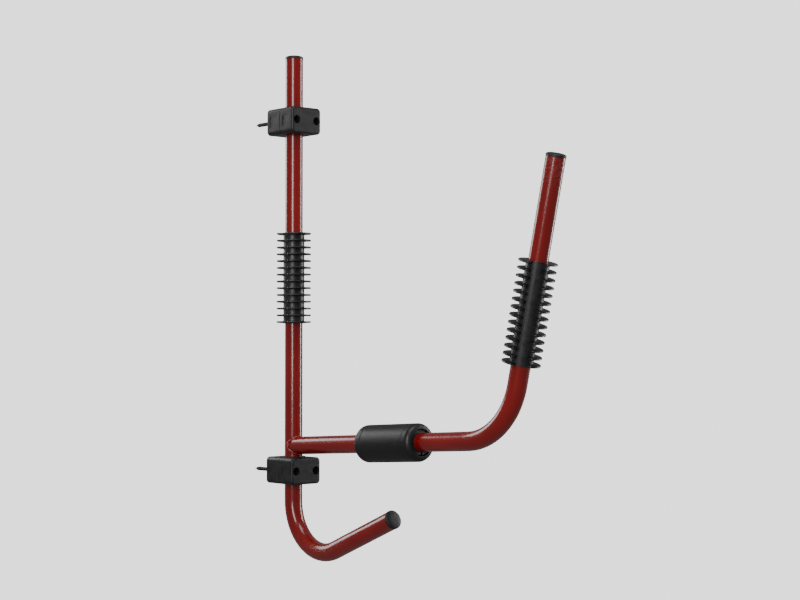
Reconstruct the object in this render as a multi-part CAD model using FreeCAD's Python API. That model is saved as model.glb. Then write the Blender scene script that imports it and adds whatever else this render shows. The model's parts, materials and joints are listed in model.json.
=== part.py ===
"""Wall holder for a kayak and its paddle: a bent steel tube frame that swivels in two moulded brackets.

Frame: X along the wall, +Y into the wall, Z up, millimetres. Y = 0 is the wall's face, X = 0 is the
plane of the bent tubes, and Z = 0 is the middle of the lower bracket.
"""
import FreeCAD, Part
import math
import os

V = FreeCAD.Vector

# Steel tube
TUBE_OD = 22.2
TUBE_WALL = 1.6

# Upright, with the paddle hook bent into its lower end
UPRIGHT_OUT = 26.0        # tube axis, out from the wall
UPRIGHT_TOP = 520.0
HOOK_DROP = 38.0          # the hook's bend starts this far under the origin
HOOK_BEND_R = 60.0
HOOK_RISE = 22.7          # degrees over the horizontal
HOOK_TIP_RUN = 116.0      # straight length after the bend

# Cradle arm
ARM_RISE = 3.3            # degrees over the horizontal
ARM_RUN = 320.7           # straight length before the bend
ARM_BEND_R = 85.0
LEG_LEAN = 13.45          # degrees out from the vertical
LEG_RUN = 249.6           # straight length after the bend

# Weld between the arm and the upright
FIT_UP_GAP = 0.1
WELD_ON_UPRIGHT = 1.9
WELD_ON_ARM = 2.2
WELD_START = 2.0          # the bead starts this far in front of the upright's axis

# Brackets
BRACKET_SPACING = 440.0
BRACKET_TALL = 33.4
BRACKET_EDGE_R = 5.0
BRACKET_FACE_R = 3.0
PARTING_GAP = 0.6
RUN_CLEARANCE = 0.08      # radial, between a tube and what turns on it

# Wall screws
SCREW_D = 5.0             # over the thread, which starts at the wall's face
SCREW_SHANK_D = 4.6
SCREW_TO_BORE_WALL = 1.67
SCREW_EMBED = 35.0        # length past the wall's face
SCREW_TIP = 6.0
SCREW_HOLE_CLEARANCE = 0.15
SCREW_HEAD_D = 9.0
SCREW_HEAD_TALL = 3.0
SCREW_DRIVE_D = 4.0
SCREW_DRIVE_DEEP = 1.8
COUNTERBORE_D = 10.4
COUNTERBORE_DEEP = 8.0
COUNTERBORE_SIDE_WALL = 2.3
WASHER_THICK = 1.0
WASHER_EDGE_CLEARANCE = 0.2

# Thrust washer under the weld
THRUST_WASHER_WIDE = 3.6
THRUST_WASHER_THICK = 1.0
THRUST_EDGE_R = 0.3
THRUST_GAP = 0.3          # between the washer and the weld

# Ribbed grip sleeves
SLEEVE_LONG = 114.6
SLEEVE_WALL = 2.1
SLEEVE_CLEARANCE = 0.05
FIN_COUNT = 14
FIN_ROOT_THICK = 3.0
FIN_TIP_THICK = 2.2
FIN_TALL = 8.5
FIN_BANK_ANGLE = 130.0
SLEEVE_ON_LEG = 22.2      # from the end of the arm's bend
SMOOTH_STRIP_TURN = 45.0  # the leg's smooth strip, turned from straight out towards -X
UPRIGHT_SLEEVE_UP = 185.0

# Roller on the arm
ROLLER_LONG = 100.0
ROLLER_D = 45.0
ROLLER_START = 143.0      # along the arm from the upright's axis
ROLLER_EDGE_R = 7.0
CORE_WALL = 3.4
CORE_RIB_WIDE = 3.0
CORE_RIB_COUNT = 4
CORE_RIB_TALL = 1.5
CORE_INSET = 9.0          # from each end of the tyre
TYRE_CORE_GAP = 0.02
RING_WIDE = 7.0
RING_WALL = 3.6
RING_SPLIT = 2.5
RING_SIDE_GAP = 0.4
RING_TYRE_GAP = 1.2

# End plugs
PLUG_STEM_LONG = 14.0
PLUG_STEM_GAP = 0.05
PLUG_RIB_TALL = 1.1
PLUG_RIB_COUNT = 3
PLUG_RIB_WIDE = 1.6
PLUG_RIM_TALL = 2.0
PLUG_DOME_TALL = 2.6
PLUG_OVERHANG = 0.3

TUBE_R = TUBE_OD / 2
BORE_R = TUBE_R - TUBE_WALL
BRACKET_DEEP = 2 * UPRIGHT_OUT
BRACKET_BORE_R = TUBE_R + RUN_CLEARANCE
SCREW_HOLE_R = SCREW_D / 2 + SCREW_HOLE_CLEARANCE
SCREW_SPACING = 2 * (BRACKET_BORE_R + SCREW_TO_BORE_WALL + SCREW_HOLE_R)
BRACKET_WIDE = SCREW_SPACING + COUNTERBORE_D + 2 * COUNTERBORE_SIDE_WALL
ALONG_UPRIGHT = V(0, 0, 1)

# The arm's axis meets the upright's where the weld just clears the thrust washer.
WELD_UNDERSIDE = BRACKET_TALL / 2 + THRUST_WASHER_THICK + THRUST_GAP
WELD_REACH = (TUBE_R + WELD_ON_ARM) / math.cos(math.radians(ARM_RISE))
ARM_JOINT_UP = WELD_UNDERSIDE + WELD_REACH - TUBE_R * math.tan(math.radians(ARM_RISE))


def spot(out, up):
    """A point of the tubes' plane: so far out from the upright's axis, so far up."""
    return V(0, -(UPRIGHT_OUT + out), up)


def heading_vector(degrees):
    """Direction in the tubes' plane: 0 points out from the wall, 90 points up."""
    return V(0, -math.cos(math.radians(degrees)), math.sin(math.radians(degrees)))


def bend_path(start, heading, steps):
    """Lines and tangent arcs from start. A step is (length, 0) or (bend radius, turn in degrees).

    Returns the edges, the last point and the last heading.
    """
    edges = []
    point = start
    for size, turn in steps:
        if turn == 0:
            end = point + heading_vector(heading) * size
            edges.append(Part.LineSegment(point, end).toShape())
        else:
            centre = point + heading_vector(heading + 90) * size
            middle = centre + heading_vector(heading + turn / 2 - 90) * size
            end = centre + heading_vector(heading + turn - 90) * size
            edges.append(Part.Arc(point, middle, end).toShape())
            heading += turn
        point = end
    return edges, point, heading


def sweep_round(edges, start, heading, radius):
    """A round bar along a path."""
    ring = Part.Wire([Part.makeCircle(radius, start, heading_vector(heading))])
    return Part.Wire(edges).makePipeShell([ring], True, False)


def bent_tube(edges, start, heading):
    """The steel tube along a path."""
    outside = sweep_round(edges, start, heading, TUBE_R)
    return outside.cut(sweep_round(edges, start, heading, BORE_R))


def ring(inner_r, outer_r, length, base=V(0, 0, 0), direction=V(0, 0, 1)):
    """A plain ring that starts at base and runs along direction."""
    outside = Part.makeCylinder(outer_r, length, base, direction)
    return outside.cut(Part.makeCylinder(inner_r, length, base, direction))


def revolve_outline(points, angle=360.0, start_angle=0.0):
    """Turns an outline of (radius, height) points about Z."""
    corners = [V(radius, 0, height) for radius, height in points]
    face = Part.Face(Part.makePolygon(corners + corners[:1]))
    solid = face.revolve(V(0, 0, 0), V(0, 0, 1), angle)
    solid.rotate(V(0, 0, 0), V(0, 0, 1), start_angle)
    return solid


def set_on(shape, point, along, facing):
    """Moves a piece made about Z to point, with Z along one direction and X facing another."""
    turned = shape.copy()
    turned.Placement = FreeCAD.Placement(point, FreeCAD.Rotation(facing, V(), along, "ZXY"))
    return turned


def export(shape, name):
    """Writes one node, which is one solid or a group of separate ones."""
    shape.exportStep("parts/" + name + ".step")


def make_upright():
    """The upright and its hook, and where the hook ends."""
    start = spot(0, UPRIGHT_TOP)
    steps = [(UPRIGHT_TOP + HOOK_DROP, 0), (HOOK_BEND_R, 90 + HOOK_RISE), (HOOK_TIP_RUN, 0)]
    edges, tip, heading = bend_path(start, -90, steps)
    return bent_tube(edges, start, -90), tip, heading


def make_arm():
    """The cradle arm, coped to sit against the upright, with its leg's first and last points."""
    start = spot(0, ARM_JOINT_UP)
    turn = 90 - LEG_LEAN - ARM_RISE
    bend_steps = [(ARM_RUN, 0), (ARM_BEND_R, turn)]
    edges, leg_foot, heading = bend_path(start, ARM_RISE, bend_steps)
    leg, tip, heading = bend_path(leg_foot, heading, [(LEG_RUN, 0)])
    tube = bent_tube(edges + leg, start, ARM_RISE)
    cope_tall = 4 * TUBE_OD
    cope_foot = spot(0, ARM_JOINT_UP - cope_tall / 2)
    cope = Part.makeCylinder(TUBE_R + FIT_UP_GAP, cope_tall, cope_foot, ALONG_UPRIGHT)
    return tube.cut(cope), leg_foot, tip, heading


def make_weld():
    """The bead round the joint of the arm and the upright."""
    tall = 4 * TUBE_OD
    foot = spot(0, ARM_JOINT_UP - tall / 2)
    along_arm = heading_vector(ARM_RISE)
    bead_start = spot(0, ARM_JOINT_UP) + along_arm * WELD_START
    bead = Part.makeCylinder(TUBE_R + WELD_ON_ARM, TUBE_OD, bead_start, along_arm)
    bead = bead.common(Part.makeCylinder(TUBE_R + WELD_ON_UPRIGHT, tall, foot, ALONG_UPRIGHT))
    bead = bead.cut(Part.makeCylinder(TUBE_R, tall, foot, ALONG_UPRIGHT))
    return bead.cut(Part.makeCylinder(TUBE_R, 2 * TUBE_OD, spot(0, ARM_JOINT_UP), along_arm))


def make_plug():
    """End plug about Z: the tube's cut end is at height 0, the domed head is above it."""
    rib_r = BORE_R - PLUG_STEM_GAP
    stem_r = rib_r - PLUG_RIB_TALL
    rim_r = TUBE_R + PLUG_OVERHANG
    plug = Part.makeCylinder(rim_r, PLUG_RIM_TALL)
    sphere_r = (rim_r ** 2 + PLUG_DOME_TALL ** 2) / (2 * PLUG_DOME_TALL)
    sphere = Part.makeSphere(sphere_r, V(0, 0, PLUG_RIM_TALL + PLUG_DOME_TALL - sphere_r))
    above_rim = Part.makeCylinder(rim_r, PLUG_DOME_TALL, V(0, 0, PLUG_RIM_TALL))
    plug = plug.fuse(sphere.common(above_rim))
    plug = plug.fuse(Part.makeCylinder(stem_r, PLUG_STEM_LONG, V(0, 0, -PLUG_STEM_LONG)))
    rib_step = PLUG_STEM_LONG / PLUG_RIB_COUNT
    for number in range(PLUG_RIB_COUNT):
        rib_foot = V(0, 0, -PLUG_STEM_LONG + number * rib_step)
        plug = plug.fuse(Part.makeCylinder(rib_r, PLUG_RIB_WIDE, rib_foot))
    return plug.removeSplitter()


def make_sleeve():
    """Ribbed sleeve about Z, its smooth strips facing +X and -X between two banks of fins."""
    bore_r = TUBE_R + SLEEVE_CLEARANCE
    skin_r = bore_r + SLEEVE_WALL
    tip_r = skin_r + FIN_TALL
    body = ring(bore_r, skin_r, SLEEVE_LONG)
    pitch = (SLEEVE_LONG - FIN_ROOT_THICK) / (FIN_COUNT - 1)
    core_r = bore_r + SLEEVE_WALL / 2
    outline = [(core_r, 0), (skin_r, 0)]
    for number in range(FIN_COUNT):
        middle = FIN_ROOT_THICK / 2 + number * pitch
        outline.append((skin_r, middle - FIN_ROOT_THICK / 2))
        outline.append((tip_r, middle - FIN_TIP_THICK / 2))
        outline.append((tip_r, middle + FIN_TIP_THICK / 2))
        outline.append((skin_r, middle + FIN_ROOT_THICK / 2))
    outline.append((core_r, SLEEVE_LONG))
    outline = [corner for number, corner in enumerate(outline) if corner != outline[number - 1]]
    for bank_middle in (90.0, 270.0):
        bank_start = bank_middle - FIN_BANK_ANGLE / 2
        body = body.fuse(revolve_outline(outline, FIN_BANK_ANGLE, bank_start))
    return body.removeSplitter()


def make_bracket(up):
    """One bracket as its base and cap, split through the upright's axis, with its holes."""
    corner = V(-BRACKET_WIDE / 2, -BRACKET_DEEP, up - BRACKET_TALL / 2)
    block = Part.makeBox(BRACKET_WIDE, BRACKET_DEEP, BRACKET_TALL, corner)
    depth_edges = [edge for edge in block.Edges if edge.BoundBox.YLength > BRACKET_DEEP / 2]
    block = block.makeFillet(BRACKET_EDGE_R, depth_edges)
    front_edges = [edge for edge in block.Edges if edge.BoundBox.YMax < -BRACKET_DEEP + 0.01]
    block = block.makeFillet(BRACKET_FACE_R, front_edges)
    bore_foot = spot(0, up - BRACKET_TALL)
    block = block.cut(Part.makeCylinder(BRACKET_BORE_R, 2 * BRACKET_TALL, bore_foot))
    for side in (-1, 1):
        mouth = V(side * SCREW_SPACING / 2, -BRACKET_DEEP, up)
        block = block.cut(Part.makeCylinder(SCREW_HOLE_R, BRACKET_DEEP, mouth, V(0, 1, 0)))
        block = block.cut(Part.makeCylinder(COUNTERBORE_D / 2, COUNTERBORE_DEEP, mouth, V(0, 1, 0)))
    side_corner = V(-BRACKET_WIDE, 0, up - BRACKET_TALL)
    half_deep = UPRIGHT_OUT - PARTING_GAP / 2
    half_box = Part.makeBox(2 * BRACKET_WIDE, half_deep, 2 * BRACKET_TALL, side_corner)
    base_box = half_box.translated(V(0, -half_deep, 0))
    cap_box = half_box.translated(V(0, -BRACKET_DEEP, 0))
    return block.common(base_box), block.common(cap_box)


def make_screws(up):
    """The two wall screws of a bracket: socket heads in the counterbores, points in the wall."""
    screws = []
    seat = COUNTERBORE_DEEP - WASHER_THICK
    for side in (-1, 1):
        under_head = V(side * SCREW_SPACING / 2, -BRACKET_DEEP + seat, up)
        shank_long = BRACKET_DEEP - seat
        thread_long = SCREW_EMBED - SCREW_TIP
        screw = Part.makeCylinder(SCREW_SHANK_D / 2, shank_long, under_head, V(0, 1, 0))
        thread_foot = under_head + V(0, shank_long, 0)
        screw = screw.fuse(Part.makeCylinder(SCREW_D / 2, thread_long, thread_foot, V(0, 1, 0)))
        tip_foot = thread_foot + V(0, thread_long, 0)
        screw = screw.fuse(Part.makeCone(SCREW_D / 2, SCREW_D / 10, SCREW_TIP, tip_foot, V(0, 1, 0)))
        head_top = under_head - V(0, SCREW_HEAD_TALL, 0)
        head = Part.makeCylinder(SCREW_HEAD_D / 2, SCREW_HEAD_TALL, head_top, V(0, 1, 0))
        socket = Part.makeCylinder(SCREW_DRIVE_D / 2, SCREW_DRIVE_DEEP, head_top, V(0, 1, 0))
        screws.append(screw.fuse(head).cut(socket))
    return Part.makeCompound(screws)


def make_screw_washers(up):
    """The flat washers under a bracket's screw heads."""
    washers = []
    outer_r = COUNTERBORE_D / 2 - WASHER_EDGE_CLEARANCE
    for side in (-1, 1):
        front = -BRACKET_DEEP + COUNTERBORE_DEEP - WASHER_THICK
        foot = V(side * SCREW_SPACING / 2, front, up)
        washers.append(ring(SCREW_HOLE_R, outer_r, WASHER_THICK, foot, V(0, 1, 0)))
    return Part.makeCompound(washers)


def make_thrust_washer():
    """The plastic washer that the frame's weight rests on, between the weld and the lower bracket."""
    outer_r = BRACKET_BORE_R + THRUST_WASHER_WIDE
    washer = ring(BRACKET_BORE_R, outer_r, THRUST_WASHER_THICK, spot(0, BRACKET_TALL / 2))
    rims = [edge for edge in washer.Edges if abs(edge.BoundBox.XLength - 2 * outer_r) < 0.01]
    return washer.makeFillet(THRUST_EDGE_R, rims)


def make_roller():
    """The roller's tyre, core and two stop rings, about Z from the tyre's inner end."""
    core_bore_r = TUBE_R + RUN_CLEARANCE
    core_r = core_bore_r + CORE_WALL
    core_long = ROLLER_LONG - 2 * CORE_INSET
    core = ring(core_bore_r, core_r, core_long, V(0, 0, CORE_INSET))
    ring_r = TUBE_R + RING_WALL
    recess_r = max(ring_r, core_r) + RING_TYRE_GAP
    tyre = Part.makeCylinder(ROLLER_D / 2, ROLLER_LONG)
    rims = [edge for edge in tyre.Edges if edge.BoundBox.ZLength < 0.01]
    tyre = tyre.makeFillet(ROLLER_EDGE_R, rims)
    tyre = tyre.cut(Part.makeCylinder(core_r + TYRE_CORE_GAP, ROLLER_LONG))
    rib_step = core_long / CORE_RIB_COUNT
    for number in range(CORE_RIB_COUNT):
        rib_up = CORE_INSET + (number + 0.5) * rib_step - CORE_RIB_WIDE / 2
        rib_r = core_r + CORE_RIB_TALL
        core = core.fuse(Part.makeCylinder(rib_r, CORE_RIB_WIDE, V(0, 0, rib_up)))
        groove_foot = V(0, 0, rib_up - TYRE_CORE_GAP)
        groove_wide = CORE_RIB_WIDE + 2 * TYRE_CORE_GAP
        tyre = tyre.cut(Part.makeCylinder(rib_r + TYRE_CORE_GAP, groove_wide, groove_foot))
    core = core.cut(Part.makeCylinder(core_bore_r, ROLLER_LONG))
    for recess_foot in (0, ROLLER_LONG - CORE_INSET):
        tyre = tyre.cut(Part.makeCylinder(recess_r, CORE_INSET, V(0, 0, recess_foot)))
    rings = []
    for ring_foot in (CORE_INSET - RING_SIDE_GAP - RING_WIDE, ROLLER_LONG - CORE_INSET + RING_SIDE_GAP):
        stop = ring(TUBE_R, ring_r, RING_WIDE, V(0, 0, ring_foot))
        split_corner = V(0, -RING_SPLIT / 2, ring_foot)
        rings.append(stop.cut(Part.makeBox(ring_r, RING_SPLIT, RING_WIDE, split_corner)))
    return tyre, core, rings[0], rings[1]


os.makedirs("parts", exist_ok=True)

for level_name, level in (("lower", 0.0), ("upper", BRACKET_SPACING)):
    bracket_base, bracket_cap = make_bracket(level)
    export(bracket_base, level_name + "_bracket_base")
    export(bracket_cap, level_name + "_bracket_cap")
    export(make_screws(level), level_name + "_bracket_screws")
    export(make_screw_washers(level), level_name + "_screw_washers")
export(make_thrust_washer(), "thrust_washer")

upright, hook_tip, hook_heading = make_upright()
export(upright, "upright_tube")
arm, leg_foot, arm_tip, leg_heading = make_arm()
export(arm, "cradle_arm")
export(make_weld(), "arm_weld")

plug = make_plug()
export(set_on(plug, spot(0, UPRIGHT_TOP), ALONG_UPRIGHT, V(1, 0, 0)), "upright_top_plug")
export(set_on(plug, hook_tip, heading_vector(hook_heading), V(1, 0, 0)), "hook_end_plug")
export(set_on(plug, arm_tip, heading_vector(leg_heading), V(1, 0, 0)), "arm_end_plug")

sleeve = make_sleeve()
strip_turn = math.radians(SMOOTH_STRIP_TURN)
leg_strip = V(-math.sin(strip_turn), -math.cos(strip_turn), 0)
leg_sleeve_foot = leg_foot + heading_vector(leg_heading) * SLEEVE_ON_LEG
export(set_on(sleeve, leg_sleeve_foot, heading_vector(leg_heading), leg_strip), "arm_grip_sleeve")
export(set_on(sleeve, spot(0, UPRIGHT_SLEEVE_UP), ALONG_UPRIGHT, V(1, 0, 0)), "upright_grip_sleeve")

along_arm = heading_vector(ARM_RISE)
roller_foot = spot(0, ARM_JOINT_UP) + along_arm * ROLLER_START
for node, piece in zip(("roller_tyre", "roller_core", "inner_stop_ring", "outer_stop_ring"), make_roller()):
    export(set_on(piece, roller_foot, along_arm, V(0, 0, -1)), node)
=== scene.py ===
import json
import math
import random

import bmesh
import bpy
from mathutils import Matrix, Vector


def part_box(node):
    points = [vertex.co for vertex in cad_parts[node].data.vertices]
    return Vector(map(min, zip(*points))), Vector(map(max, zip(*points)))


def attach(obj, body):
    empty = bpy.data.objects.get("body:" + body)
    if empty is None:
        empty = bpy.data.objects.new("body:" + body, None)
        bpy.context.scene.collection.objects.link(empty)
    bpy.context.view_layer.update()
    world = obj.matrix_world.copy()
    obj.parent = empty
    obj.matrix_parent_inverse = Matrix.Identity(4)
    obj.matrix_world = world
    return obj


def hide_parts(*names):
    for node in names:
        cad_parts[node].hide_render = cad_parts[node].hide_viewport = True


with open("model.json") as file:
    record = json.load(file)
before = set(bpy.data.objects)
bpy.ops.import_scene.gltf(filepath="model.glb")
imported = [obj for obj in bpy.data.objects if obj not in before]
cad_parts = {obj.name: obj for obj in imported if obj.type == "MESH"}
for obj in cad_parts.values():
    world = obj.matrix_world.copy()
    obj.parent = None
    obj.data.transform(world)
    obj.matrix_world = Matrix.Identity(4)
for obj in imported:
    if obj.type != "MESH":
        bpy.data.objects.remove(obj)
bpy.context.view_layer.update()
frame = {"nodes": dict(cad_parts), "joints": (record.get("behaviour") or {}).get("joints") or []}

nodes = frame["nodes"]
joints = {joint["name"]: joint for joint in frame["joints"]}

# Wall brackets: two blocks moulded in black nylon, one low and one high on the wall. Each is split
# through the upright into a base against the wall and a cap in front, with softened outer edges and
# two counterbored screw holes. The tube turns in the bore between them.
BLOCK_EDGE_R = 0.005
BLOCK_FACE_R = 0.003
BLOCK_SOFTENING = 0.00035
BLOCK_BORE_R = 0.01118
BLOCK_HOLE_R = 0.00265
COUNTERBORE_R = 0.0052
COUNTERBORE_DEEP = 0.008
WASHER_R = 0.005
PANEL_BORDER = 0.005
PANEL_DEEP = 0.0005
BORE_SIDES = 128
HOLE_SIDES = 48
COUNTERBORE_SIDES = 64
ALONG_WALL_SCREW = (math.pi / 2, 0, 0)
CUT_THROUGH = 3               # a hole's cutter, as a share of the block it goes through
SAME_WAY = 0.9                # how far a face or an edge points along an axis to count as on it
FLAT_SIDE = 0.999             # the same, for a flat face and not the rounding beside it
ON_FACE = 0.0001
NYLON_DARK = (0.010, 0.010, 0.011)
NYLON_PALE = (0.019, 0.019, 0.020)
DUST_GREY = (0.05, 0.048, 0.045)
MOULD_GRAIN_TALL = 0.00003
FLOW_MARK_TALL = 0.00008
UPRIGHT_AT = Vector(joints["frame_swivel"]["pos_m"])
SCREW_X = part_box("lower_screw_washers")[1].x - WASHER_R


def only(piece):
    """Makes one object the selected and active one."""
    bpy.ops.object.select_all(action="DESELECT")
    piece.select_set(True)
    bpy.context.view_layer.objects.active = piece


def new_primitive(name, add, **how):
    """Adds a primitive by itself and opens it for editing, with its corners as what is selected."""
    bpy.context.tool_settings.mesh_select_mode = (True, False, False)
    bpy.ops.object.select_all(action="DESELECT")
    add(**how)
    piece = bpy.context.object
    piece.name = name
    piece.data.name = name
    bpy.ops.object.transform_apply(location=True, rotation=True, scale=True)
    bpy.ops.object.mode_set(mode="EDIT")
    return piece


def pick(piece, kind, test):
    """In edit mode, selects the parts of a kind that pass a test on their middle and direction."""
    bpy.context.tool_settings.mesh_select_mode = (kind == "verts", kind == "edges", kind == "faces")
    mesh = bmesh.from_edit_mesh(piece.data)
    mesh.normal_update()
    for part in (*mesh.faces, *mesh.edges, *mesh.verts):
        part.select = False
    for part in getattr(mesh, kind):
        corners = [part] if kind == "verts" else part.verts
        middle = sum((corner.co for corner in corners), Vector()) / len(corners)
        if kind == "edges":
            direction = (corners[0].co - corners[1].co).normalized()
        else:
            direction = part.normal
        if test(middle, direction):
            part.select_set(True)
    bmesh.update_edit_mesh(piece.data)


def apply_modifier(piece, kind, **settings):
    """Adds a modifier, sets it and applies it."""
    only(piece)
    modifier = piece.modifiers.new(kind.title(), kind)
    for key, value in settings.items():
        setattr(modifier, key, value)
    bpy.ops.object.modifier_apply(modifier=modifier.name)


def soften_edges(piece, width, angle):
    """Rounds every edge sharper than an angle."""
    apply_modifier(piece, "BEVEL", width=width, segments=2, limit_method="ANGLE",
                   angle_limit=math.radians(angle), use_clamp_overlap=True)


def cut_away(piece, radius, depth, middle, turn, sides):
    """Cuts a hole with a cylinder, or with a prism if it has few sides."""
    cutter = new_primitive("cutter", bpy.ops.mesh.primitive_cylinder_add, vertices=sides,
                           radius=radius, depth=depth, location=middle, rotation=turn)
    bpy.ops.object.mode_set(mode="OBJECT")
    apply_modifier(piece, "BOOLEAN", operation="DIFFERENCE", object=cutter, solver="EXACT")
    bpy.data.objects.remove(cutter)


def put_copy(model, name, place):
    """A copy of a finished model with its own mesh, set in its place on the object."""
    piece = bpy.data.objects.new(name, model.data.copy())
    piece.data.name = name
    piece.data.transform(place)
    bpy.context.scene.collection.objects.link(piece)
    return piece


def fit_piece(piece, body, node, material, smooth_angle):
    """Smooths a piece, gives it its material and hands it to its body in place of a plain node."""
    only(piece)
    bpy.ops.object.shade_smooth_by_angle(angle=math.radians(smooth_angle))
    apply_modifier(piece, "WEIGHTED_NORMAL", keep_sharp=True)
    piece.data.materials.clear()
    piece.data.materials.append(material)
    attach(piece, body)
    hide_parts(node)


def start_material(name, roughness, specular):
    """A material with its shader and the object's own coordinates."""
    material = bpy.data.materials.new(name)
    material.use_nodes = True
    tree = material.node_tree
    shader = tree.nodes["Principled BSDF"]
    shader.inputs["Roughness"].default_value = roughness
    shader.inputs["Specular IOR Level"].default_value = specular
    return material, tree, shader, tree.nodes.new("ShaderNodeTexCoord").outputs["Object"]


def stretched(tree, place, scale):
    """Coordinates scaled along the axes, for a pattern that runs one way."""
    mapping = tree.nodes.new("ShaderNodeMapping")
    mapping.inputs["Scale"].default_value = scale
    tree.links.new(place, mapping.inputs["Vector"])
    return mapping.outputs["Vector"]


def noise(tree, place, scale, detail, roughness=0.5):
    """Noise from 0 to 1, whose grains are about one metre over the scale across."""
    node = tree.nodes.new("ShaderNodeTexNoise")
    node.inputs["Scale"].default_value = scale
    node.inputs["Detail"].default_value = detail
    node.inputs["Roughness"].default_value = roughness
    tree.links.new(place, node.inputs["Vector"])
    return node.outputs["Fac"]


def spread(tree, value, low, high, to_low=0.0, to_high=1.0):
    """Maps a range of a value to another range and clamps it there."""
    node = tree.nodes.new("ShaderNodeMapRange")
    node.inputs["From Min"].default_value = low
    node.inputs["From Max"].default_value = high
    node.inputs["To Min"].default_value = to_low
    node.inputs["To Max"].default_value = to_high
    tree.links.new(value, node.inputs["Value"])
    return node.outputs["Result"]


def combine(tree, operation, first, second):
    """One sum on two values, the second of which may be a plain number."""
    node = tree.nodes.new("ShaderNodeMath")
    node.operation = operation
    tree.links.new(first, node.inputs[0])
    if isinstance(second, float):
        node.inputs[1].default_value = second
    else:
        tree.links.new(second, node.inputs[1])
    return node.outputs["Value"]


def blend_colours(tree, amount, first, second):
    """Mixes two colours, each of which is a plain colour or another node's output."""
    node = tree.nodes.new("ShaderNodeMix")
    node.data_type = "RGBA"
    tree.links.new(amount, node.inputs["Factor"])
    for colour, socket in ((first, node.inputs[6]), (second, node.inputs[7])):
        if isinstance(colour, tuple):
            socket.default_value = (*colour, 1.0)
        else:
            tree.links.new(colour, socket)
    return node.outputs[2]


def raise_surface(tree, shader, height, distance, below=None):
    """A bump so many metres tall, on top of another bump if there is one."""
    node = tree.nodes.new("ShaderNodeBump")
    node.inputs["Distance"].default_value = distance
    tree.links.new(height, node.inputs["Height"])
    if below is not None:
        tree.links.new(below, node.inputs["Normal"])
    tree.links.new(node.outputs["Normal"], shader.inputs["Normal"])
    return node.outputs["Normal"]


def make_moulded_plastic(name, dark, pale, roughness):
    """Moulded black plastic: fine mould grain, faint flow marks, and dust that dulls the gloss."""
    material, tree, shader, place = start_material(name, roughness, 0.4)
    flow = noise(tree, stretched(tree, place, (1.0, 1.0, 2.4)), scale=70, detail=3)
    grain = noise(tree, place, scale=2600, detail=2, roughness=0.6)
    dust = noise(tree, place, scale=240, detail=5, roughness=0.65)
    tone = blend_colours(tree, spread(tree, flow, 0.35, 0.7), dark, pale)
    settled = spread(tree, dust, 0.6, 0.8, to_low=0.0, to_high=0.3)
    tree.links.new(blend_colours(tree, settled, tone, DUST_GREY), shader.inputs["Base Color"])
    dulled = spread(tree, dust, 0.3, 0.75, to_low=roughness - 0.05, to_high=roughness + 0.12)
    tree.links.new(dulled, shader.inputs["Roughness"])
    below = raise_surface(tree, shader, grain, MOULD_GRAIN_TALL)
    raise_surface(tree, shader, flow, FLOW_MARK_TALL, below)
    return material


bracket_nylon = make_moulded_plastic("bracket_nylon", NYLON_DARK, NYLON_PALE, roughness=0.42)


def make_half_block(node, is_cap):
    """One half of the lower bracket, with its edges, side panels, bore and screw holes."""
    low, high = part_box(node)
    size = high - low
    middle = (low + high) / 2
    half = new_primitive("half_block", bpy.ops.mesh.primitive_cube_add, size=1.0,
                         location=middle, scale=size)
    pick(half, "edges", lambda at, way: abs(way.y) > SAME_WAY)
    bpy.ops.mesh.bevel(offset=BLOCK_EDGE_R, segments=8, affect="EDGES")
    if is_cap:
        pick(half, "edges", lambda at, way: at.y < low.y + ON_FACE and abs(way.y) < 1 - SAME_WAY)
        bpy.ops.mesh.bevel(offset=BLOCK_FACE_R, segments=6, affect="EDGES")
    pick(half, "faces", lambda at, way: abs(way.x) > FLAT_SIDE)
    bpy.ops.mesh.inset(thickness=PANEL_BORDER, depth=0, use_individual=True)
    bpy.ops.mesh.inset(thickness=PANEL_DEEP, depth=-PANEL_DEEP, use_individual=True)
    bpy.ops.object.mode_set(mode="OBJECT")
    cut_away(half, BLOCK_BORE_R, CUT_THROUGH * size.z, UPRIGHT_AT, (0, 0, 0), BORE_SIDES)
    for side in (-1, 1):
        hole_at = Vector((side * SCREW_X, middle.y, middle.z))
        cut_away(half, BLOCK_HOLE_R, CUT_THROUGH * size.y, hole_at, ALONG_WALL_SCREW, HOLE_SIDES)
        if is_cap:
            mouth = Vector((side * SCREW_X, low.y, middle.z))
            cut_away(half, COUNTERBORE_R, 2 * COUNTERBORE_DEEP, mouth, ALONG_WALL_SCREW,
                     COUNTERBORE_SIDES)
    soften_edges(half, BLOCK_SOFTENING, angle=50)
    return half


lower_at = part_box("lower_bracket_base")[0]
upper_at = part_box("upper_bracket_base")[0]
block_levels = {"lower": Matrix.Identity(4), "upper": Matrix.Translation(upper_at - lower_at)}
for half_name in ("base", "cap"):
    half_block = make_half_block("lower_bracket_" + half_name, half_name == "cap")
    for level, place in block_levels.items():
        node = level + "_bracket_" + half_name
        half = put_copy(half_block, "moulded_" + node, place)
        fit_piece(half, "wall_brackets", node, bracket_nylon, smooth_angle=40)
    bpy.data.objects.remove(half_block)

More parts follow.
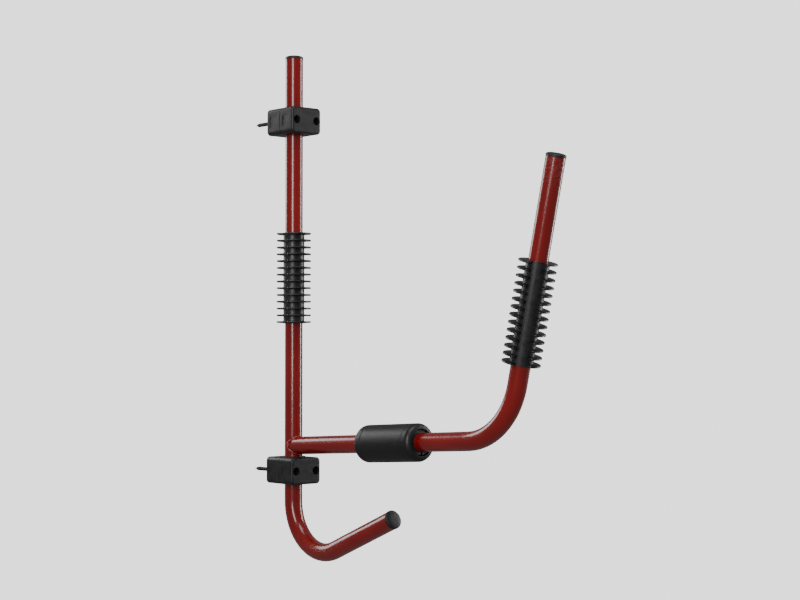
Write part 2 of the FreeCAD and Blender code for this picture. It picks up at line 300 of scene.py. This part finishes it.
# Wall screws: blackened steel screws with a rolled thread, a crowned head and a hexagon socket, two
# to a bracket. They pass through both halves, sit on flat washers in the counterbores, and clamp the
# bracket to the wall.
THREAD_PITCH = 0.0028
THREAD_CORE_R = 0.0018
THREAD_CREST_R = 0.0025
THREAD_TOOTH = ((THREAD_CORE_R, 0.5), (THREAD_CREST_R, 0.7),      # radius, share of the pitch
                (THREAD_CREST_R, 0.8), (THREAD_CORE_R, 1.0))
THREAD_SIDES = 24
THREAD_TAPER = 0.007
THREAD_TAPER_STEPS = 8
THREAD_TAPER_SHARE = 0.8
SCREW_SIDES = 48
SHANK_R = 0.0023
HEAD_R = 0.0045
HEAD_TALL = 0.003
HEAD_CROWN = 0.0011
SOCKET_R = 0.0023
SOCKET_SIDES = 6
SOCKET_DEEP = 0.0018
SEAM_GAP = 0.000005
OXIDE_BLACK = (0.032, 0.032, 0.036)
RUBBED_STEEL = (0.15, 0.145, 0.14)
RUST_BROWN = (0.11, 0.045, 0.02)
TURNING_TALL = 0.00006
screws_low, screws_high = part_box("lower_bracket_screws")
UNDER_HEAD_Y = screws_low.y + HEAD_TALL
SCREW_TIP_Y = screws_high.y


def make_blackened_steel():
    """Black oxide on steel: fine turning grain, rubbed bright in spots, with a little rust bloom."""
    material, tree, shader, place = start_material("blackened_steel", 0.38, 0.5)
    shader.inputs["Metallic"].default_value = 0.9
    grain = noise(tree, stretched(tree, place, (1.0, 6.0, 1.0)), scale=700, detail=3)
    spots = noise(tree, place, scale=420, detail=4, roughness=0.7)
    damp = noise(tree, place, scale=260, detail=5, roughness=0.75)
    colour = blend_colours(tree, spread(tree, spots, 0.56, 0.72), OXIDE_BLACK, RUBBED_STEEL)
    bloom = spread(tree, damp, 0.64, 0.8, to_low=0.0, to_high=0.5)
    tree.links.new(blend_colours(tree, bloom, colour, RUST_BROWN), shader.inputs["Base Color"])
    tree.links.new(spread(tree, grain, 0.3, 0.7, to_low=0.3, to_high=0.52), shader.inputs["Roughness"])
    raise_surface(tree, shader, grain, TURNING_TALL)
    return material


blackened_steel = make_blackened_steel()


def close_and_face_out():
    """Merges the seams of the piece in hand, closes what is open and points its faces outwards."""
    bpy.ops.mesh.select_all(action="SELECT")
    bpy.ops.mesh.remove_doubles(threshold=SEAM_GAP)
    bpy.ops.mesh.fill_holes(sides=0)
    bpy.ops.mesh.select_all(action="SELECT")
    bpy.ops.mesh.normals_make_consistent(inside=False)
    bpy.ops.object.mode_set(mode="OBJECT")


def make_thread():
    """The threaded end about Z, from 0 up to its point, wound from one tooth of the thread."""
    thread = new_primitive("thread", bpy.ops.mesh.primitive_plane_add, size=THREAD_CORE_R,
                           location=(THREAD_CORE_R, 0, 0))
    bpy.ops.mesh.select_all(action="SELECT")
    bpy.ops.mesh.merge(type="CENTER")
    radius, height = THREAD_CORE_R, 0.0
    for next_r, next_height in THREAD_TOOTH:
        step = (next_r - radius, 0, (next_height - height) * THREAD_PITCH)
        bpy.ops.mesh.extrude_region_move(TRANSFORM_OT_translate={"value": step})
        radius, height = next_r, next_height
    bpy.ops.object.mode_set(mode="OBJECT")
    turns = int(SCREW_TIP_Y / THREAD_PITCH)
    apply_modifier(thread, "SCREW", axis="Z", screw_offset=THREAD_PITCH, iterations=turns,
                   steps=THREAD_SIDES, render_steps=THREAD_SIDES, use_smooth_shade=False)
    bpy.ops.object.mode_set(mode="EDIT")
    bpy.ops.mesh.select_all(action="SELECT")
    to_length = SCREW_TIP_Y / (turns + 1) / THREAD_PITCH
    bpy.ops.transform.resize(value=(1, 1, to_length), center_override=(0, 0, 0))
    for step in range(THREAD_TAPER_STEPS):
        beyond = SCREW_TIP_Y - THREAD_TAPER * (1 - step / THREAD_TAPER_STEPS)
        pick(thread, "verts", lambda at, way: at.z > beyond)
        bpy.ops.transform.resize(value=(THREAD_TAPER_SHARE, THREAD_TAPER_SHARE, 1),
                                 center_override=(0, 0, 0))
    close_and_face_out()
    return thread


def make_screw():
    """One screw along +Y through the origin of the wall's face."""
    head_top_y = UNDER_HEAD_Y - HEAD_TALL
    screw = new_primitive("screw", bpy.ops.mesh.primitive_cylinder_add, vertices=SCREW_SIDES,
                          radius=HEAD_R, depth=HEAD_TALL, rotation=ALONG_WALL_SCREW,
                          location=(0, UNDER_HEAD_Y - HEAD_TALL / 2, 0))
    pick(screw, "faces", lambda at, way: way.y > SAME_WAY)
    bpy.ops.mesh.inset(thickness=HEAD_R - SHANK_R)
    to_thread = (0, THREAD_PITCH - UNDER_HEAD_Y, 0)
    bpy.ops.mesh.extrude_region_move(TRANSFORM_OT_translate={"value": to_thread})
    pick(screw, "edges", lambda at, way: at.y < head_top_y + ON_FACE and abs(way.y) < 1 - SAME_WAY)
    bpy.ops.mesh.bevel(offset=HEAD_CROWN, segments=6, affect="EDGES")
    bpy.ops.object.mode_set(mode="OBJECT")
    cut_away(screw, SOCKET_R, 2 * SOCKET_DEEP, (0, head_top_y, 0), ALONG_WALL_SCREW, SOCKET_SIDES)
    thread = make_thread()
    thread.data.transform(Matrix.Rotation(-math.pi / 2, 4, "X"))
    only(screw)
    thread.select_set(True)
    bpy.ops.object.join()
    return bpy.context.object


screw_model = make_screw()
for level, place in block_levels.items():
    level_z = place.translation.z
    for side, side_name in ((-1, "left"), (1, "right")):
        at_hole = Matrix.Translation((side * SCREW_X, 0, level_z))
        screw = put_copy(screw_model, "wall_screw_" + level + "_" + side_name, at_hole)
        fit_piece(screw, "wall_brackets", level + "_bracket_screws", blackened_steel,
                  smooth_angle=35)
    nodes[level + "_screw_washers"].data.materials[0] = blackened_steel
bpy.data.objects.remove(screw_model)

# Thrust washer: a thin ring of black acetal, slipped over the upright between the lower bracket and
# the weld, so that the frame's weight turns on plastic and not on paint.
ACETAL_DARK = (0.010, 0.010, 0.011)
ACETAL_PALE = (0.018, 0.018, 0.019)
bearing_acetal = make_moulded_plastic("bearing_acetal", ACETAL_DARK, ACETAL_PALE, roughness=0.45)
nodes["thrust_washer"].data.materials[0] = bearing_acetal

# Frame: two steel tubes, bent cold and welded together, then powder coated in gloss red. The upright
# carries the paddle hook at its foot, and the cradle arm rises round the hull. The coat has a fine
# orange peel, and it is scuffed where the paddle and the hull rub.
COAT_DEEP_RED = (0.185, 0.0045, 0.004)
COAT_RED = (0.245, 0.007, 0.006)
COAT_SPECK = (0.09, 0.004, 0.004)
COAT_WORN = (0.16, 0.03, 0.027)
PEEL_SCALE = 430
PEEL_TALL = 0.00002
SCUFF_DEEP = 0.00006
HOOK_SCUFF_R = 0.06
HOOK_SCUFF_OUT = 0.07
HOOK_SCUFF_UP = 0.022
TIP_SCUFF_R = 0.05
SCUFF_CORE = 0.3              # a scuffed place is worn all over this far out from its middle
hook_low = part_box("upright_tube")[0]
arm_low, arm_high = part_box("cradle_arm")
HOOK_FLOOR = Vector((0, UPRIGHT_AT.y - HOOK_SCUFF_OUT, hook_low.z + HOOK_SCUFF_UP))
LEG_TIP = Vector((0, arm_low.y, arm_high.z))


def near(tree, place, point, radius):
    """1 close to a point of the object, falling to 0 at a distance."""
    node = tree.nodes.new("ShaderNodeVectorMath")
    node.operation = "DISTANCE"
    tree.links.new(place, node.inputs[0])
    node.inputs[1].default_value = point
    return spread(tree, node.outputs["Value"], SCUFF_CORE * radius, radius, to_low=1.0, to_high=0.0)


def make_red_powder_coat():
    """Gloss red powder coat with orange peel, dark specks in the film, and scuffs where things rub."""
    material, tree, shader, place = start_material("red_powder_coat", 0.3, 0.4)
    shader.inputs["Coat Weight"].default_value = 0.4
    shader.inputs["Coat Roughness"].default_value = 0.13
    cloud = noise(tree, place, scale=16, detail=3)
    peel = noise(tree, place, scale=PEEL_SCALE, detail=1.5, roughness=0.4)
    dots = noise(tree, place, scale=1500, detail=1)
    film = blend_colours(tree, spread(tree, cloud, 0.3, 0.7), COAT_DEEP_RED, COAT_RED)
    specks = spread(tree, dots, 0.66, 0.74, to_low=0.0, to_high=0.5)
    film = blend_colours(tree, specks, film, COAT_SPECK)
    streaks = noise(tree, stretched(tree, place, (1.0, 0.35, 2.2)), scale=330, detail=5, roughness=0.7)
    at_hook = near(tree, place, HOOK_FLOOR, HOOK_SCUFF_R)
    at_tip = near(tree, place, LEG_TIP, TIP_SCUFF_R)
    rubbed = combine(tree, "MAXIMUM", at_hook, at_tip)
    scuff = combine(tree, "MULTIPLY", rubbed, spread(tree, streaks, 0.5, 0.62))
    knocks = noise(tree, place, scale=90, detail=6, roughness=0.72)
    handled = spread(tree, knocks, 0.62, 0.74, to_low=0.0, to_high=0.3)
    worn = combine(tree, "MAXIMUM", scuff, handled)
    tree.links.new(blend_colours(tree, worn, film, COAT_WORN), shader.inputs["Base Color"])
    tree.links.new(spread(tree, worn, 0.0, 1.0, to_low=0.24, to_high=0.6), shader.inputs["Roughness"])
    below = raise_surface(tree, shader, peel, PEEL_TALL)
    raise_surface(tree, shader, combine(tree, "MULTIPLY", scuff, -1.0), SCUFF_DEEP, below)
    return material


red_powder_coat = make_red_powder_coat()
for node in ("upright_tube", "cradle_arm"):
    nodes[node].data.materials[0] = red_powder_coat

# Weld: one run of weld metal right round the saddle where the arm meets the upright, laid in
# overlapping ripples and coated over in the same red.
BEAD_R = 0.0019
BEAD_RIPPLES = 34
BEAD_LAP = 0.35
BEAD_RIPPLE_TALL = 0.16
BEAD_STEPS = 288
BEAD_SIDES = 20
TUBE_R = 0.0111
SADDLE_EDGE = 0.97            # the saddle is no steeper than it is this far out on the tube
ARM_WAY = Vector(joints["roller_spin"]["axis"]).normalized()
ARM_JOINT = Vector(joints["roller_spin"]["pos_m"])
LEVEL = Vector((1, 0, 0))


def set_along(point, way, facing):
    """The placement that puts a piece's Z along one way at a point, and its X towards another."""
    side = way.cross(facing).normalized()
    turn = Matrix((side.cross(way), side, way)).transposed().to_4x4()
    return Matrix.Translation(point) @ turn


bead = new_primitive("weld_bead", bpy.ops.mesh.primitive_torus_add, major_radius=TUBE_R,
                     minor_radius=BEAD_R, major_segments=BEAD_STEPS, minor_segments=BEAD_SIDES)
bpy.ops.object.mode_set(mode="OBJECT")
for vertex in bead.data.vertices:
    around = math.atan2(vertex.co.y, vertex.co.x)
    across = Vector((math.cos(around), math.sin(around), 0)) * TUBE_R
    section = vertex.co - across
    lap = (BEAD_RIPPLES * around / math.tau + BEAD_LAP * section.z / BEAD_R) % 1.0
    section *= 1 - BEAD_RIPPLE_TALL * lap ** 2
    saddle = math.sqrt(TUBE_R ** 2 - min(abs(across.x), SADDLE_EDGE * TUBE_R) ** 2)
    vertex.co = across + section + Vector((0, 0, saddle))
bead.data.transform(set_along(ARM_JOINT, ARM_WAY, LEVEL))
fit_piece(bead, "frame", "arm_weld", red_powder_coat, smooth_angle=60)

# End plugs: black polythene plugs with plain stems, pushed into the open ends of the upright, the
# hook and the arm. Each has a straight rim as wide as the tube and a low dome with a soft edge.
PLUG_RIM_R = 0.0114
PLUG_RIM_TALL = 0.0020
PLUG_DOME_TALL = 0.0026
PLUG_DOME_STEPS = 14
PLUG_DOME_POWER = 0.72        # under 1 for a dome that is flatter than a round one
PLUG_TOP_SHARE = 0.03
PLUG_SIDES = 72
PLUG_STEM_R = 0.0083
PLUG_STEM_LONG = 0.0135
PLUG_SOFTENING = 0.0003
LEG_LEAN = math.radians(13.45)
HOOK_RISE = math.radians(22.7)
PLUG_DARK = (0.010, 0.010, 0.010)
PLUG_PALE = (0.017, 0.017, 0.018)
UP = Vector((0, 0, 1))
LEG_WAY = Vector((0, -math.sin(LEG_LEAN), math.cos(LEG_LEAN)))
HOOK_WAY = Vector((0, -math.cos(HOOK_RISE), math.sin(HOOK_RISE)))
plug_polythene = make_moulded_plastic("plug_polythene", PLUG_DARK, PLUG_PALE, roughness=0.5)


def centre_line(node, way):
    """The first and the last point of a round node's own axis, which runs one way."""
    across = way.cross(LEVEL)
    points = [vertex.co for vertex in nodes[node].data.vertices]
    along = [point.dot(way) for point in points]
    beside = [point.dot(across) for point in points]
    off_axis = across * (min(beside) + max(beside)) / 2
    return off_axis + way * min(along), off_axis + way * max(along)


def make_plug():
    """A plug about Z whose rim starts at the tube's cut end, at height 0."""
    plug = new_primitive("plug", bpy.ops.mesh.primitive_cylinder_add, vertices=PLUG_SIDES,
                         radius=PLUG_RIM_R, depth=PLUG_RIM_TALL, location=(0, 0, PLUG_RIM_TALL / 2))
    pick(plug, "faces", lambda at, way: way.z < -SAME_WAY)
    bpy.ops.mesh.inset(thickness=PLUG_RIM_R - PLUG_STEM_R)
    bpy.ops.mesh.extrude_region_move(TRANSFORM_OT_translate={"value": (0, 0, -PLUG_STEM_LONG)})
    pick(plug, "faces", lambda at, way: way.z > SAME_WAY and at.z > PLUG_RIM_TALL / 2)
    radius = PLUG_RIM_R
    height = 0.0
    for step in range(1, PLUG_DOME_STEPS + 1):
        angle = step / PLUG_DOME_STEPS * math.pi / 2
        curve = math.cos(angle) ** PLUG_DOME_POWER if step < PLUG_DOME_STEPS else 0.0
        next_r = PLUG_RIM_R * (PLUG_TOP_SHARE + (1 - PLUG_TOP_SHARE) * curve)
        rise = PLUG_DOME_TALL * math.sin(angle) - height
        bpy.ops.mesh.extrude_region_move(TRANSFORM_OT_translate={"value": (0, 0, rise)})
        bpy.ops.transform.resize(value=(next_r / radius, next_r / radius, 1), center_override=(0, 0, 0))
        radius = next_r
        height += rise
    bpy.ops.object.mode_set(mode="OBJECT")
    soften_edges(plug, PLUG_SOFTENING, angle=60)
    return plug


plug_model = make_plug()
for node, way in (("upright_top_plug", UP), ("hook_end_plug", HOOK_WAY), ("arm_end_plug", LEG_WAY)):
    crown = centre_line(node, way)[1]
    cut_end = crown - way * (PLUG_RIM_TALL + PLUG_DOME_TALL)
    plug = put_copy(plug_model, "domed_" + node, set_along(cut_end, way, LEVEL))
    fit_piece(plug, "frame", node, plug_polythene, smooth_angle=50)
bpy.data.objects.remove(plug_model)

# Grip sleeves: soft black rubber, moulded with two banks of thin round fins and a smooth strip down
# the front and the back, and pushed over the tubes. The fins give way under the hull. One sleeve is
# on the rising leg and one on the upright.
SLEEVE_BORE_R = 0.01115
SLEEVE_SKIN_R = 0.01325
FIN_TIP_R = 0.02175
FIN_COUNT = 14
FIN_ROOT_THICK = 0.003
FIN_BANK_HALF = math.radians(65)
FIN_CORNER = math.radians(9)
FIN_CORNER_STEPS = 4
FIN_CORNER_CUT = 0.0022
FIN_SECTION = ((0.0, 0.0), (0.00012, 0.05), (0.00026, 0.4), (0.0004, 0.88),      # height, share
               (0.0007, 0.975), (0.0012, 1.0), (0.0018, 1.0), (0.0023, 0.975),   # of the way out
               (0.0026, 0.88), (0.00274, 0.4), (0.00288, 0.05), (FIN_ROOT_THICK, 0.0))
FIN_WAVER = 0.0002
FIN_DROOP_SHARE = 0.6
FIN_SAME_ROW = 0.00001
FIN_JOIN_GAP = 0.00001
SLEEVE_SIDES = 176
FIN_BLACK = (0.008, 0.008, 0.009)
FIN_BLOOM = (0.02, 0.02, 0.021)
FIN_DUST = (0.07, 0.066, 0.06)
FIN_GRAIN_TALL = 0.00003
LEG_STRIP_WAY = Vector((-1, -1, 0)).normalized()


def raise_bank(sleeve, height, share):
    """Draws one row of the sleeve's skin out into its two banks of fin, rounded at their ends."""
    radius = SLEEVE_SKIN_R
    for step in range(FIN_CORNER_STEPS + 1):
        inside = FIN_BANK_HALF - FIN_CORNER * step / FIN_CORNER_STEPS
        cut = FIN_CORNER_CUT * (1 - step / FIN_CORNER_STEPS) ** 2
        next_r = SLEEVE_SKIN_R + (FIN_TIP_R - SLEEVE_SKIN_R - cut) * share
        pick(sleeve, "verts", lambda at, way: abs(at.z - height) < FIN_SAME_ROW
             and abs(abs(math.atan2(at.y, at.x)) - math.pi / 2) < inside)
        bpy.ops.transform.resize(value=(next_r / radius, next_r / radius, 1), center_override=(0, 0, 0))
        radius = next_r


def make_sleeve(long, seed):
    """A sleeve about Z from height 0, with its smooth strips facing +X and -X."""
    pitch = (long - FIN_ROOT_THICK) / (FIN_COUNT - 1)
    sleeve = new_primitive("sleeve", bpy.ops.mesh.primitive_circle_add, vertices=SLEEVE_SIDES,
                           radius=SLEEVE_SKIN_R, fill_type="NOTHING")
    bpy.ops.mesh.select_all(action="SELECT")
    height = 0.0
    for next_height in [row for row, share in FIN_SECTION[1:]] + [pitch]:
        up = (0, 0, next_height - height)
        bpy.ops.mesh.extrude_region_move(TRANSFORM_OT_translate={"value": up})
        height = next_height
    for row, share in FIN_SECTION:
        if share:
            raise_bank(sleeve, row, share)
    bpy.ops.object.mode_set(mode="OBJECT")
    apply_modifier(sleeve, "ARRAY", count=FIN_COUNT, use_relative_offset=False,
                   use_constant_offset=True, constant_offset_displace=(0, 0, pitch),
                   use_merge_vertices=True, merge_threshold=FIN_JOIN_GAP)
    bpy.ops.object.mode_set(mode="EDIT")
    pick(sleeve, "verts", lambda at, way: at.z > long + FIN_SAME_ROW)
    bpy.ops.mesh.delete(type="VERT")
    bpy.ops.mesh.select_non_manifold()
    bpy.ops.mesh.extrude_region_move()
    to_bore = SLEEVE_BORE_R / SLEEVE_SKIN_R
    bpy.ops.transform.resize(value=(to_bore, to_bore, 1), center_override=(0, 0, 0))
    bpy.ops.mesh.bridge_edge_loops()
    close_and_face_out()
    chance = random.Random(seed)
    for number in range(FIN_COUNT):
        middle = number * pitch + FIN_ROOT_THICK / 2
        lean = chance.uniform(-1, 1)
        turn = chance.uniform(0, math.tau)
        droop = chance.uniform(-1, 1)
        for vertex in sleeve.data.vertices:
            tall = math.hypot(vertex.co.x, vertex.co.y) - SLEEVE_SKIN_R
            if abs(vertex.co.z - middle) < pitch / 2 and tall > 0:
                around = math.atan2(vertex.co.y, vertex.co.x)
                bend = lean * math.sin(2 * around + turn) + FIN_DROOP_SHARE * droop
                vertex.co.z += FIN_WAVER * bend * (tall / (FIN_TIP_R - SLEEVE_SKIN_R)) ** 2
    return sleeve


def make_fin_rubber():
    """Soft black rubber with a dry bloom, grey dust caught on it and a faint mould texture."""
    material, tree, shader, place = start_material("fin_rubber", 0.4, 0.5)
    bloom = noise(tree, place, scale=130, detail=5, roughness=0.65)
    dust = noise(tree, place, scale=620, detail=4, roughness=0.7)
    grain = noise(tree, place, scale=2300, detail=2)
    tone = blend_colours(tree, spread(tree, bloom, 0.35, 0.7), FIN_BLACK, FIN_BLOOM)
    caught = spread(tree, dust, 0.56, 0.76, to_low=0.0, to_high=0.4)
    tree.links.new(blend_colours(tree, caught, tone, FIN_DUST), shader.inputs["Base Color"])
    tree.links.new(spread(tree, bloom, 0.3, 0.7, to_low=0.3, to_high=0.52), shader.inputs["Roughness"])
    raise_surface(tree, shader, grain, FIN_GRAIN_TALL)
    return material


fin_rubber = make_fin_rubber()
for number, (node, way, strip) in enumerate((("arm_grip_sleeve", LEG_WAY, LEG_STRIP_WAY),
                                             ("upright_grip_sleeve", UP, LEVEL))):
    first, last = centre_line(node, way)
    sleeve = make_sleeve((last - first).length, number)
    sleeve.name = "finned_" + node
    sleeve.data.transform(set_along(first, way, strip))
    fit_piece(sleeve, "frame", node, fin_rubber, smooth_angle=35)

# Roller: a thick tyre of smooth black rubber moulded over an acetal core, which spins on the arm
# between two push-on rings. Its ends are well rounded and recessed round the rings, and a shallow
# groove near each end marks where the mould's end caps met it.
TYRE_R = 0.0225
TYRE_EDGE_R = 0.007
TYRE_EDGE_STEPS = 12
TYRE_SIDES = 160
TYRE_BORE_R = 0.0146
RECESS_R = 0.0159
RECESS_DEEP = 0.009
RECESS_LIP = 0.0006
GROOVE_IN = 0.0135
GROOVE_HALF_WIDE = 0.0006
GROOVE_DEEP = 0.0004
GROOVE_SECTION = ((-2, 0), (-1, 0), (-0.5, 1), (0.5, 1), (1, 0), (2, 0))   # half widths, depths
TYRE_BLACK = (0.008, 0.008, 0.009)
TYRE_PALE = (0.012, 0.012, 0.013)
TYRE_SCUFF = (0.06, 0.058, 0.055)
TYRE_GRAIN_TALL = 0.00003


def turn_up(name, outline, sides):
    """A closed ring about Z: a circle carried round an outline of (radius, height) points."""
    piece = new_primitive(name, bpy.ops.mesh.primitive_circle_add, vertices=sides, radius=outline[0][0],
                          location=(0, 0, outline[0][1]), fill_type="NOTHING")
    bpy.ops.mesh.select_all(action="SELECT")
    for (radius, height), (next_r, next_height) in zip(outline, outline[1:]):
        up = (0, 0, next_height - height)
        bpy.ops.mesh.extrude_region_move(TRANSFORM_OT_translate={"value": up})
        bpy.ops.transform.resize(value=(next_r / radius, next_r / radius, 1), center_override=(0, 0, 0))
    bpy.ops.mesh.select_all(action="DESELECT")
    bpy.ops.mesh.select_non_manifold()
    bpy.ops.mesh.bridge_edge_loops()
    close_and_face_out()
    return piece


def make_tyre(long):
    """The tyre about Z from height 0."""
    edge_middle_r = TYRE_R - TYRE_EDGE_R
    rim_angle = math.asin((RECESS_R - edge_middle_r) / TYRE_EDGE_R)
    end = [(TYRE_BORE_R, RECESS_DEEP), (RECESS_R, RECESS_DEEP), (RECESS_R, RECESS_LIP)]
    for step in range(TYRE_EDGE_STEPS + 1):
        angle = rim_angle + (math.pi / 2 - rim_angle) * step / TYRE_EDGE_STEPS
        end.append((edge_middle_r + TYRE_EDGE_R * math.sin(angle), TYRE_EDGE_R * (1 - math.cos(angle))))
    for offset, deep in GROOVE_SECTION:
        end.append((TYRE_R - deep * GROOVE_DEEP, GROOVE_IN + offset * GROOVE_HALF_WIDE))
    other_end = [(radius, long - height) for radius, height in reversed(end)]
    return turn_up("rubber_tyre", end + [(TYRE_R, long / 2)] + other_end, TYRE_SIDES)


def make_tyre_rubber():
    """Smooth black rubber, polished by hulls in bands round it, with dusty scuffs."""
    material, tree, shader, place = start_material("tyre_rubber", 0.4, 0.42)
    round_it = stretched(tree, place, (0.25, 3.0, 0.25))
    bands = noise(tree, round_it, scale=130, detail=4, roughness=0.6)
    knocks = noise(tree, place, scale=300, detail=6, roughness=0.72)
    grain = noise(tree, place, scale=1700, detail=2)
    tone = blend_colours(tree, spread(tree, bands, 0.35, 0.7), TYRE_BLACK, TYRE_PALE)
    scuffs = spread(tree, knocks, 0.6, 0.76, to_low=0.0, to_high=0.45)
    tree.links.new(blend_colours(tree, scuffs, tone, TYRE_SCUFF), shader.inputs["Base Color"])
    tree.links.new(spread(tree, bands, 0.3, 0.7, to_low=0.38, to_high=0.5), shader.inputs["Roughness"])
    raise_surface(tree, shader, grain, TYRE_GRAIN_TALL)
    return material


tyre_first, tyre_last = centre_line("roller_tyre", ARM_WAY)
tyre = make_tyre((tyre_last - tyre_first).length)
tyre.data.transform(set_along(tyre_first, ARM_WAY, LEVEL))
fit_piece(tyre, "roller", "roller_tyre", make_tyre_rubber(), smooth_angle=35)
for node in ("roller_core", "inner_stop_ring", "outer_stop_ring"):
    nodes[node].data.materials[0] = bearing_acetal

# Floor: a plain pale round floor, as far under the holder as under one on a wall. It is nearly as
# bright as the backdrop, and it throws no light up at the holder.
FLOOR_Z = -1.25
FLOOR_R = 5.0
FLOOR_SIDES = 128
FLOOR_GREY = (0.8, 0.8, 0.8)
FLOOR_PALE = (0.84, 0.84, 0.84)
FLOOR_GLOW = 1.1
floor = new_primitive("floor", bpy.ops.mesh.primitive_circle_add, vertices=FLOOR_SIDES,
                      radius=FLOOR_R, location=(0, 0, FLOOR_Z), fill_type="NGON")
bpy.ops.object.mode_set(mode="OBJECT")
floor.visible_diffuse = False
floor.visible_glossy = False
pale_floor, floor_tree, floor_shader, floor_place = start_material("pale_floor", 0.8, 0.2)
floor_grain = noise(floor_tree, floor_place, scale=1.5, detail=2)
floor_tone = blend_colours(floor_tree, floor_grain, FLOOR_GREY, FLOOR_PALE)
floor_tree.links.new(floor_tone, floor_shader.inputs["Base Color"])
floor_shader.inputs["Emission Color"].default_value = (1, 1, 1, 1)
floor_shader.inputs["Emission Strength"].default_value = FLOOR_GLOW
floor.data.materials.append(pale_floor)

# Light: an even pale surround, whose backdrop shows brighter than the light it gives. Four soft
# lights stand round the holder: a tall one in front on the left that draws the tubes' middle
# highlight, a tall one on the right that edges them, one overhead and one behind.
AIM = Vector((0, -0.23, 0.21))
SURROUND_LIGHT = 0.21
BACKDROP_SHOWN = 2.0
LIGHTS = (("key_light", (-1.95, -1.35, 0.75), (0.5, 1.5), 34),     # name, place, size, watts
          ("side_light", (1.9, -0.9, 0.5), (0.3, 1.5), 24),
          ("top_light", (-0.3, -0.9, 2.0), (1.2, 0.8), 18),
          ("back_light", (-0.4, 2.1, 1.0), (1.2, 1.2), 24))
world = bpy.data.worlds.new("pale_surround")
world.use_nodes = True
background = world.node_tree.nodes["Background"]
background.inputs["Color"].default_value = (1, 1, 1, 1)
rays = world.node_tree.nodes.new("ShaderNodeLightPath")
shown = spread(world.node_tree, rays.outputs["Is Camera Ray"], 0.0, 1.0,
               to_low=SURROUND_LIGHT, to_high=BACKDROP_SHOWN)
world.node_tree.links.new(shown, background.inputs["Strength"])
bpy.context.scene.world = world
for name, spot, (wide, tall), watts in LIGHTS:
    lamp = bpy.data.objects.new(name, bpy.data.lights.new(name, "AREA"))
    lamp.data.shape = "RECTANGLE"
    lamp.data.size = wide
    lamp.data.size_y = tall
    lamp.data.energy = watts
    lamp.location = spot
    lamp.rotation_euler = (AIM - Vector(spot)).to_track_quat("-Z", "Y").to_euler()
    bpy.context.scene.collection.objects.link(lamp)

# Camera: out in front of the wall and to the holder's left, a little below its middle, so that it
# looks slightly up and across the arm, with a lens long enough to keep the tubes nearly parallel.
CAMERA_AT = Vector((-1.3045, -1.722, 0.1524))
CAMERA_LENS = 76
CAMERA_SENSOR = 36
camera = bpy.data.objects.new("camera", bpy.data.cameras.new("camera"))
camera.data.lens = CAMERA_LENS
camera.data.sensor_width = CAMERA_SENSOR
camera.location = CAMERA_AT
camera.rotation_euler = (AIM - CAMERA_AT).to_track_quat("-Z", "Y").to_euler()
bpy.context.scene.collection.objects.link(camera)
bpy.context.scene.camera = camera
